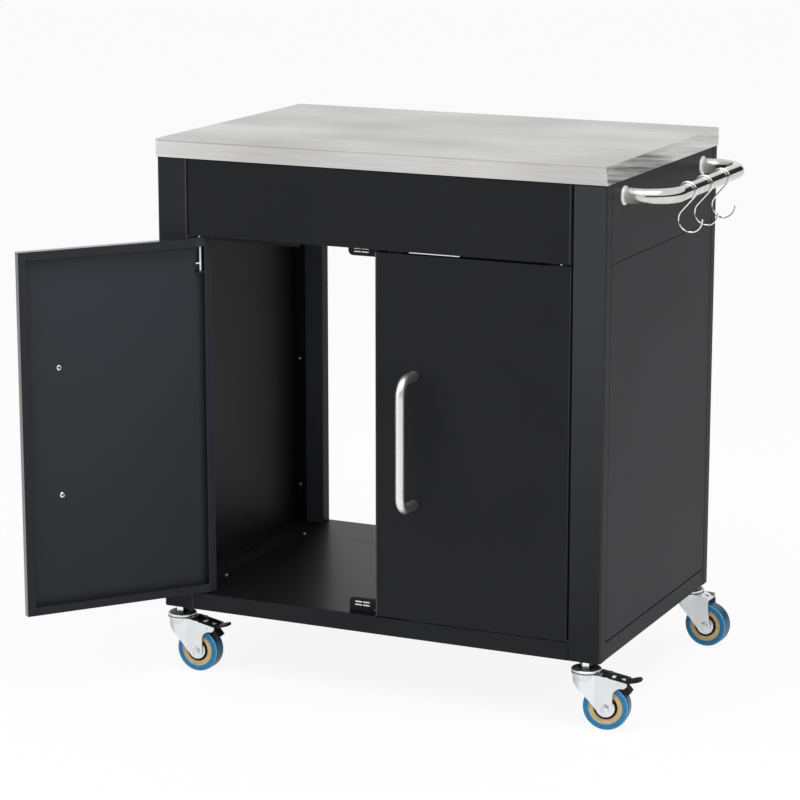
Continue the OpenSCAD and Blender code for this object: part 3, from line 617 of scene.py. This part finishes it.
# The rail's ends near the wall are paler and less metallic, a painted highlight.
painted_highlight_rail_end = polished.ramp(across, (0.385, 0.0), (0.397, 1.0), (0.404, 1.0), (0.43, 0.0))
satin = polished.ramp(haze, (0.3, (0.62, 0.605, 0.58)), (0.7, (0.72, 0.71, 0.69)))
near_wall = polished.ramp(across, (0.40, 0.26), (0.46, 0.0))
polished.feed(
    Base_Color=polished.mix(on_door | painted_highlight_rail_end, satin, (0.90, 0.89, 0.865)),
    Metallic=1.0 - 0.6 * painted_highlight_rail_end,
    Roughness=polished.ramp(haze, (0.3, 0.02), (0.7, 0.045)) + near_wall + 0.10 * on_door)

# In millimetres, in a door's own place.
handle_x = 251.5
handle_r = 8
handle_bend = 26
handle_reach = 55
handle_low, handle_high = 339.5, 554.5
door_face = -7.5
door_sheet_back = -6.3
recess_r = 2.5
recess_depth = 2.3


def arc(middle, radius, first, last, across, up, steps=24):
    """Points round middle, from one angle to another, in the plane of two directions."""
    middle, across, up = Vector(middle), Vector(across), Vector(up)
    angles = [math.radians(first + (last - first) * i / steps) for i in range(steps + 1)]
    return [middle + radius * (math.cos(a) * across + math.sin(a) * up) for a in angles]


bow_y = door_face - handle_reach + handle_bend
bow = [(handle_x, door_face, handle_low)]
bow += arc((handle_x, bow_y, handle_low + handle_bend), handle_bend, 270, 180, (0, 1, 0), (0, 0, 1))
bow += arc((handle_x, bow_y, handle_high - handle_bend), handle_bend, 180, 90, (0, 1, 0), (0, 0, 1))
bow += [(handle_x, door_face, handle_high)]
handle_screw = screw(4.6, 3.0, 13.2, 2.5, 0.17)
heads = [moved(facing((handle_x, door_sheet_back, z), (0, 1, 0), turn), handle_screw)
         for z, turn in ((handle_low, 20), (handle_high, 55))]
for hand, place in hung.items():
    handle = make(hand + "_bar_handle", polished, hand + "_door_leaf", tube(bow, handle_r, 48, 0.08), place)
    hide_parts(hand + "_handle")
    driven = Finish(hand + "_driven_screws", "zinc_steel", Metallic=1.0, Roughness=0.3)
    middle = place @ Vector((handle_x, door_sheet_back, (handle_low + handle_high) / 2))
    offset = driven.add("ShaderNodeVectorMath", {"operation": "SUBTRACT"}, {0: driven.place, 1: MM * middle})
    deep = driven.dot(offset, place.to_3x3() @ Vector((0, 1, 0)))
    wide = driven.dot(offset, place.to_3x3() @ Vector((1, 0, 0)))
    tall = abs(driven.axes(offset)[2]) - MM * (handle_high - handle_low) / 2
    # Painted shade in the recess of each screw.
    painted_recess_shade = (wide * wide + tall * tall < (recess_r * MM) ** 2) * (deep < recess_depth * MM)
    wear_and_painted_highlight = driven.noise(driven.place, 300.0, 2.0)
    plated = driven.ramp(wear_and_painted_highlight, (0.3, (0.78, 0.80, 0.82)), (0.7, (0.92, 0.93, 0.94)))
    driven.feed(Base_Color=driven.mix(painted_recess_shade, plated, (0.012, 0.012, 0.012)))
    held = make(hand + "_handle_fixings", driven, hand + "_door_leaf", joined(*heads), place)
    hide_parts(hand + "_handle_screws")

# Towel rail
# Polished stainless tube with two wide bends, closed at the wall by turned rosettes and bolted
# from inside the side panel.
rail_x, _, rail_z = pivot("middle_hook_swing")
rail_r = 12.5
rail_bend = 50
rail_foot = 186
wall_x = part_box("right_upper_panel")[1].x / MM
turn_x = rail_x - rail_bend
turn_y = rail_foot - rail_bend
path = [(wall_x, -rail_foot, rail_z)]
path += arc((turn_x, -turn_y, rail_z), rail_bend, 270, 360, (1, 0, 0), (0, 1, 0), 36)
path += arc((turn_x, turn_y, rail_z), rail_bend, 0, 90, (1, 0, 0), (0, 1, 0), 36)
path += [(wall_x, rail_foot, rail_z)]
rail = make("bent_rail", polished, "cabinet", tube(path, rail_r, 64, 0.03))
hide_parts("towel_rail")
rosette = lathe([(12.55, 0), (15.5, 0), (15.5, 1.7), (15.2, 2.4), (14.6, 2.85), (13.8, 3.0), (12.9, 3.0),
                 (12.6, 2.8)], closed=True)
seated = [moved(facing((wall_x, y, rail_z), (1, 0, 0)), rosette) for y in (-rail_foot, rail_foot)]
rosettes = make("rail_wall_rosettes", polished, "cabinet", joined(*seated))
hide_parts("rail_rosettes")

# Hooks
# S-hooks of chromed wire with a bead at each end. The upper loop lies on the rail, and a straight
# stretch that touches both loops joins it to the lower one.
chromed = Finish("chromed_wire", "polished_steel", Metallic=1.0)
film = chromed.noise(chromed.place, 120.0, 2.0)
chromed.feed(Base_Color=chromed.ramp(film, (0.3, (0.80, 0.80, 0.80)), (0.7, (0.92, 0.92, 0.92))),
             Roughness=chromed.ramp(film, (0.3, 0.04), (0.7, 0.09)))
wire_r = 1.5
bead_r = 2
top_loop_r = 14.3
low_loop_r = 20
low_loop = Vector((5, 0, -46))
hook_start = 200
# The angle at which the straight stretch leaves the upper loop.
stretch = math.degrees(math.atan2(low_loop.z, low_loop.x)
                       + math.acos((top_loop_r + low_loop_r) / low_loop.length))
ball = lathe([(0, -bead_r)] + [(bead_r * math.cos(math.radians(a)), bead_r * math.sin(math.radians(a)))
                               for a in range(-75, 90, 15)] + [(0, bead_r)], 24)
for name in ("front", "middle", "rear"):
    middle = pivot(name + "_hook_swing")
    wire = arc(middle, top_loop_r, hook_start, stretch, (1, 0, 0), (0, 0, 1), 60)
    wire += arc(middle + low_loop, low_loop_r, stretch + 180, 360, (1, 0, 0), (0, 0, 1), 60)
    outward = (wire[0] - middle).normalized()
    ends = (middle + (top_loop_r + bead_r - wire_r) * outward, wire[-1])
    beads = [moved(Matrix.Translation(end), ball) for end in ends]
    hook = make(name + "_wire_hook", chromed, name + "_s_hook", joined(tube(wire, wire_r, 20, 0), *beads))
    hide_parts(name + "_hook")

# Casters
# The fork is pressed from zinc-plated sheet and turns under a dark race disc. A hexagon lock nut
# holds the stem in the post's foot. The axle bolt has a hexagon head and a nut.
# In millimetres, from the floor below a stem, or along an axle.
race_low, race_high = 93.3, 99.8
trail = 35
wheel_r = 38


def hexagon(across, low, high, both=True):
    """A hexagon nut or head, with the usual chamfer on top, or on both sides."""
    sides = 72
    flat = across / 2
    circle = 0.97 * flat
    slope = 0.577  # of a chamfer at 30 degrees
    angles = [math.tau * k / sides for k in range(sides)]
    reaches = [flat / math.cos((a + math.pi / 6) % (math.pi / 3) - math.pi / 6) for a in angles]

    def face_row(z):
        return [(min(reach, circle) * math.cos(a), min(reach, circle) * math.sin(a), z)
                for a, reach in zip(angles, reaches)]

    def side_row(z, cut):
        return [(reach * math.cos(a), reach * math.sin(a), z - cut * max(0.0, reach - circle))
                for a, reach in zip(angles, reaches)]

    rows = [face_row(low), side_row(low, -slope)] if both else [side_row(low, 0.0)]
    rows += [side_row(high, slope), face_row(high)]
    points = [p for row in rows for p in row]
    faces = []
    for j in range(len(rows) - 1):
        for k in range(sides):
            n = (k + 1) % sides
            faces.append([j * sides + k, j * sides + n, (j + 1) * sides + n, (j + 1) * sides + k])
    faces.append(list(reversed(range(sides))))
    faces.append([(len(rows) - 1) * sides + k for k in range(sides)])
    return points, faces


def round_bar(radius, low, high):
    """Round bar on the Z axis, with both ends chamfered."""
    cut = 0.5
    return lathe([(0, low), (radius - cut, low), (radius, low + cut), (radius, high - cut),
                  (radius - cut, high), (0, high)], 48)


def caster_place(name):
    """Where a caster stands, on the floor below its stem, with +X the way that it trails."""
    stem_x, stem_y, _ = pivot(name + "_swivel")
    axle_x, axle_y, _ = joints[name + "_wheel_spin"]["axis"]
    return Matrix.Translation((stem_x, stem_y, 0)) @ Matrix.Rotation(math.atan2(-axle_x, axle_y), 4, "Z")


seal = Finish("black_seal_rubber", "black_plastic", Roughness=0.6, Specular_IOR_Level=0.12)
bloom = seal.noise(seal.place, 250.0, 2.0)
seal.feed(Base_Color=seal.ramp(bloom, (0.3, (0.008, 0.006, 0.005)), (0.7, (0.014, 0.011, 0.009))))
dark = Finish("dark_race_plate", "black_brake", Metallic=0.6)
smear = dark.noise(dark.place, 180.0, 3.0)
dark.feed(Base_Color=dark.ramp(smear, (0.3, (0.012, 0.014, 0.015)), (0.7, (0.03, 0.034, 0.035))),
          Roughness=dark.ramp(smear, (0.3, 0.3), (0.7, 0.42)))
dull = Finish("dull_nut_steel", "zinc_steel", Metallic=1.0)
worn = dull.noise(dull.place, 60.0, 2.0)
grey = dull.ramp(worn, (0.3, (0.03, 0.032, 0.034)), (0.7, (0.07, 0.073, 0.076)))
# A painted highlight on the flat of each nut that faces the front.
painted_glint_flat = Matrix.Rotation(math.radians(-81), 3, "Z") @ Vector((1, 0, 0))
painted_glint = dull.dot(dull.normal, painted_glint_flat) > 0.97
dull.feed(Base_Color=dull.mix(painted_glint, grey, (0.95, 0.95, 0.95)),
          Roughness=dull.ramp(worn, (0.3, 0.16), (0.7, 0.24)))
race = lathe([(5, race_low), (21.5, race_low), (22, 93.8), (22, 98.8), (21.3, 99.6), (20, race_high),
              (14.5, race_high), (14.0, 99.3), (12.2, 99.3), (11.7, race_high), (5, race_high)],
             96, closed=True)
lock_nut = moved(Matrix.Rotation(math.radians(-25), 4, "Z"), hexagon(19, race_high, 110, both=False))
king_bolt = lathe([(0, 87.2), (6, 87.2), (6.5, 87.4), (8, 90.0), (7.8, 90.2), (5, 90.2), (5, 94), (0, 94)],
                  48)
stem = joined(lock_nut, round_bar(6, 100, 126), king_bolt)
dust_seal = lathe([(23.65, 93.05), (24.1, 93.05), (24.3, 93.3), (24.3, 94.0), (24.1, 94.25), (23.65, 94.25)],
                  96, closed=True)
bolt_tip = lathe([(0, -25.6), (4.6, -25.6), (5.4, -25.2), (0, -25.0)], 48)
axle_bolt = joined(hexagon(13, 19.2, 23.7), round_bar(4, -26.2, 20), hexagon(13, -25.2, -19.2), bolt_tip)
caster_names = ("front_left", "front_right", "rear_left", "rear_right")
caster_places = {name: caster_place(name) for name in caster_names}
to_wheel = Matrix.Translation((trail, 0, wheel_r)) @ Matrix.Rotation(math.radians(90), 4, "X")
wheel_places = {name: place @ to_wheel for name, place in caster_places.items()}
for name, place in caster_places.items():
    make(name + "_dust_seal", seal, name + "_caster", dust_seal, place)
    pressed = Finish(name + "_pressed_zinc", "zinc_steel", Metallic=1.0)
    frosting = pressed.noise(pressed.place, 22.0, 2.0)
    plating = pressed.ramp(frosting, (0.3, (0.83, 0.86, 0.88)), (0.7, (0.91, 0.93, 0.94)))
    trailing = pressed.dot(pressed.normal, place.to_3x3() @ Vector((1, 0, 0)))
    # Painted reflection: the fork is paler or darker in bands by which way a face turns from the trailing
    # side.
    painted_reflection_bands = pressed.ramp(
        trailing * 0.5 + 0.5, (0.03, 0.68), (0.2, 0.74), (0.36, 0.84), (0.42, 1.0), (0.472, 1.0),
        (0.488, 0.90), (0.6, 0.93), (0.9, 0.84))
    pressed.feed(
        Base_Color=pressed.mix(painted_reflection_bands, (0.0, 0.0, 0.0), plating),
        Roughness=pressed.ramp(frosting, (0.3, 0.20), (0.7, 0.28)))
    pressed.dress(name + "_fork")
    soften(0.0005, name + "_fork")
    axle = make(name + "_axle_bolt", zinc, name + "_caster", axle_bolt, wheel_places[name])
    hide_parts(name + "_axle")
make("caster_races", dark, "cabinet", joined(*[moved(place, race) for place in caster_places.values()]))
stems = make("caster_stems_and_nuts", dull, "cabinet",
             joined(*[moved(place, stem) for place in caster_places.values()]))
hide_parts("caster_stems")

# Wheels
# A blue elastomer tread moulded on a tan core, which turns on a steel hub with a black seal ring
# at each side.
blue = Finish("blue_elastomer", "blue_tread", Roughness=0.34, Specular_IOR_Level=0.35)
scuff = blue.noise(blue.place, 120.0, 4.0, 0.6)
sideways = abs(blue.axes(blue.normal)[1])
flank = blue.ramp(scuff, (0.3, (0.010, 0.165, 0.35)), (0.7, (0.020, 0.215, 0.44)))
# Painted shade makes the running face darker than the flanks, and a painted highlight lies on the shoulder
# between them.
painted_shade_running_face = blue.ramp(scuff, (0.3, (0.006, 0.065, 0.125)), (0.7, (0.010, 0.095, 0.18)))
painted_shoulder_highlight = blue.ramp(sideways, (0.40, 0.0), (0.5, 1.0), (0.7, 1.0), (0.8, 0.0))
elastomer = blue.mix(sideways > 0.5, painted_shade_running_face, flank)
blue.feed(Base_Color=blue.mix(painted_shoulder_highlight * 0.6, elastomer, (0.30, 0.52, 0.68)))
tan = Finish("tan_moulding", "tan_core", Roughness=0.5)
flow = tan.noise(tan.place, 90.0, 3.0)
tan.feed(Base_Color=tan.ramp(flow, (0.3, (0.56, 0.40, 0.19)), (0.7, (0.70, 0.52, 0.27))))


def both_ways(half):
    """A closed profile from its upper half, mirrored about the middle of the wheel."""
    return half + [(r, -z) for r, z in reversed(half)]


tread_ring = lathe(both_ways([
    (28.0, 12.7), (28.8, 13.6), (29.7, 14.0), (34.2, 14.0), (35.6, 13.6), (36.8, 12.7), (37.6, 11.5),
    (37.95, 10.0), (38.0, 8.0), (38.0, 0.3)]), 96, closed=True)
core_ring = lathe(both_ways([
    (19.6, 11.8), (20.2, 12.6), (21.0, 13.0), (22.4, 12.9), (24.5, 12.5), (26.6, 12.9), (27.4, 13.1),
    (27.95, 12.8)]), 96, closed=True)
hub_sleeve = lathe(both_ways([
    (4.05, 16.0), (4.3, 16.3), (8.2, 16.3), (8.6, 15.9), (8.8, 15.2), (14.4, 14.9), (15.6, 14.4),
    (16.0, 13.6), (16.0, 11.0), (19.4, 10.8)]), 96, closed=True)
seal_rings = joined(*[lathe([
    (16.1, 11.2 * side), (16.1, 12.6 * side), (16.6, 13.2 * side), (18.8, 13.2 * side), (19.4, 12.6 * side),
    (19.4, 11.2 * side)], 96, closed=True) for side in (-1, 1)])
for name, place in wheel_places.items():
    body = name + "_wheel"
    tread = make(name + "_blue_tread", blue, body, tread_ring, place)
    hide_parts(name + "_tread")
    core = make(name + "_tan_core", tan, body, core_ring, place)
    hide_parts(name + "_core")
    hub = make(name + "_steel_hub", zinc, body, hub_sleeve, place)
    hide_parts(name + "_hub")
    make(name + "_seal_rings", seal, body, seal_rings, place)

# Brake levers
# A stamped steel lever, painted black, with a pedal to step on and a shoe over the tread. Bright
# tabs of the fork's spring and of the shoe show through its windows.
lever = Finish("black_lever_paint", "black_brake", Specular_IOR_Level=0.2)
rub = lever.noise(lever.place, 300.0, 2.0)
lever.feed(Base_Color=lever.ramp(rub, (0.3, (0.006, 0.006, 0.007)), (0.7, (0.012, 0.012, 0.013))),
           Roughness=lever.ramp(rub, (0.3, 0.34), (0.7, 0.46)))
lever.dress("front_left_brake", "front_right_brake")
soften(0.0004, "front_left_brake", "front_right_brake")


def ring_plate(outer, inner, low, high):
    """A flat plate with a hole, from two outlines with the same number of corners."""
    n = len(outer)
    points = [(x, y, z) for z in (low, high) for outline in (outer, inner) for x, y in outline]
    faces = []
    for i in range(n):
        j = (i + 1) % n
        faces += [(i, j, 2 * n + j, 2 * n + i), (n + j, n + i, 3 * n + i, 3 * n + j),
                  (j, i, n + i, n + j), (2 * n + i, 2 * n + j, 3 * n + j, 3 * n + i)]
    return points, faces


def bent_tab(side, half_width):
    """A strip of sheet, from the outline of its edge in X and Z."""
    n = len(side)
    points = [(x, y, z) for y in (-half_width, half_width) for x, z in side]
    faces = [tuple(range(n)), tuple(range(2 * n - 1, n - 1, -1))]
    return points, faces + [(i, n + i, n + (i + 1) % n, (i + 1) % n) for i in range(n)]


frosted = Finish("frosted_zinc", "zinc_steel", Metallic=0.1, Roughness=0.4)
speckle = frosted.noise(frosted.place, 150.0, 2.0)
frosted.feed(Base_Color=frosted.ramp(speckle, (0.3, (0.82, 0.84, 0.85)), (0.7, (0.95, 0.95, 0.95))))
spring_tab = bent_tab([
    (42.8, 84.6), (42.8, 87.7), (43.3, 88.0), (48.3, 87.2), (48.6, 86.8), (48.5, 86.2), (44.0, 86.9),
    (43.9, 84.5)], 5.6)
shoe_tab = ring_plate(
    [(-4.2, 0), (2.4, -5.2), (2.4, 5.2)], [(-1.2, 0), (1.0, -1.9), (1.0, 1.9)], -3.4, 0.0)
shoe_window = Matrix.Translation((62, 0, 84.6)) @ Matrix.Rotation(math.radians(9.2), 4, "Y")
for name in ("front_left", "front_right"):
    place = caster_places[name]
    make(name + "_spring_tab", frosted, name + "_caster", spring_tab, place)
    make(name + "_shoe_tab", frosted, name + "_brake_lever", shoe_tab, place @ shoe_window)

# Floor
# A pale studio floor. It looks white to the camera and in the polished metal, and keeps the cart's
# shadow.
floor_mesh = bpy.data.meshes.new("floor")
grid = bmesh.new()
bmesh.ops.create_grid(grid, x_segments=1, y_segments=1, size=30.0)
grid.to_mesh(floor_mesh)
grid.free()
floor = bpy.data.objects.new("floor", floor_mesh)
bpy.context.scene.collection.objects.link(floor)
pale = Finish("pale_floor", None, Base_Color=(1, 1, 1, 1), Roughness=0.9, Specular_IOR_Level=0.0)
glow = pale.add("ShaderNodeEmission", {}, {"Strength": 1.0})
seen, mirrored = pale.rays()
shared = pale.add("ShaderNodeMixShader", {}, {
    0: 0.9 * seen | 0.55 * mirrored, 1: Wire(pale, pale.shader.outputs[0]), 2: glow})
pale.tree.links.new(shared.socket, pale.tree.nodes["Material Output"].inputs["Surface"])
floor_mesh.materials.append(pale.material)

# Light
# A white studio: soft light from all round, with soft boxes above, at the left front and at the
# right. The studio is open low on the right, which shows as a darker streak in polished metal.
world = bpy.data.worlds.new("studio")
bpy.context.scene.world = world
world.use_nodes = True
surround = Graph(world.node_tree)
background = world.node_tree.nodes["Background"]
background.inputs["Color"].default_value = (1, 1, 1, 1)
ambient = 0.55
rightward, _, upward = surround.axes(surround.add("ShaderNodeTexCoord", {}, {}))
open_side = (surround.ramp(rightward, (0.02, 0.0), (0.12, 1.0))
             * surround.ramp(upward, (0.0, 0.0), (0.02, 1.0), (0.32, 1.0), (0.38, 0.0)))
seen, mirrored = surround.rays()
strength = ambient + (1.0 - ambient) * (seen | 0.75 * mirrored) - 0.85 * mirrored * open_side
world.node_tree.links.new(strength.socket, background.inputs["Strength"])


def soft_box(name, place, target, size, power):
    """A rectangular lamp that faces a target."""
    data = bpy.data.lights.new(name, "AREA")
    data.shape = "RECTANGLE"
    data.size, data.size_y = size
    data.energy = power
    lamp = bpy.data.objects.new(name, data)
    lamp.location = place
    lamp.rotation_euler = (Vector(target) - Vector(place)).to_track_quat("-Z", "Y").to_euler()
    bpy.context.scene.collection.objects.link(lamp)
    return lamp


soft_box("overhead", (0.3, -1.2, 3.3), (0, 0, 0.5), (3.0, 2.0), 50)
soft_box("left_front", (-2.6, -3.0, 1.8), (0, 0, 0.5), (1.6, 2.0), 14)
soft_box("right_side", (5.4, -1.5, 2.5), (0.2, 0, 0.5), (4.6, 4.0), 95).visible_glossy = False

# Camera
# Where the product picture was taken from, pitched down and with no roll.
frame_pixels = 800.0
focal_pixels = 2899.9
pitch = 12.652
heading = 24.914
view = bpy.data.cameras.new("camera")
view.sensor_width = 36.0
view.lens = view.sensor_width * focal_pixels / frame_pixels
view.clip_end = 100.0
camera = bpy.data.objects.new("camera", view)
camera.location = (1.9798, -4.4267, 1.5425)
camera.rotation_euler = (math.radians(90.0 - pitch), 0.0, math.radians(heading))
bpy.context.scene.collection.objects.link(camera)
bpy.context.scene.camera = camera
bpy.context.scene.view_settings.view_transform = "Standard"
